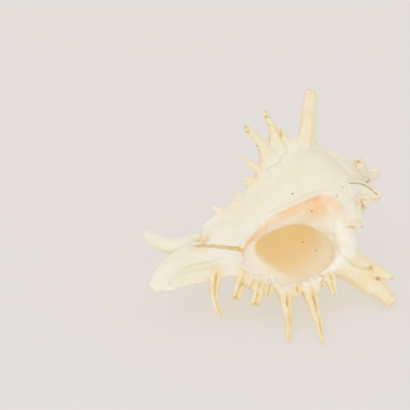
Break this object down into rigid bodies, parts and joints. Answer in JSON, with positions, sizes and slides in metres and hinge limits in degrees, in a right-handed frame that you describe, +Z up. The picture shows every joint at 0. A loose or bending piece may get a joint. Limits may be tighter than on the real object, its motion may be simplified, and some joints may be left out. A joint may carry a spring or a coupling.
{
  "type": "ramose murex seashell",
  "caption": "Large spined sea snail shell with a wide round mouth, short spire, long open canal and rows of hollow spines, lying mouth-forward on its spine tips.",
  "frame": {"origin": "on the surface it rests on, under the middle of its bounding box", "axes": "+Z up; the mouth faces -Y and up, the spire points to +X and slightly +Y, the canal to -X"},
  "size_m": [0.18, 0.174, 0.1397],
  "materials": {
    "shell": "bleached cream shell, chalky outside, satin porcelain glaze in the mouth, peach callus, golden-brown spine grooves"
  },
  "bodies": {
    "root": {"shell": "shell"}
  },
  "joints": []
}
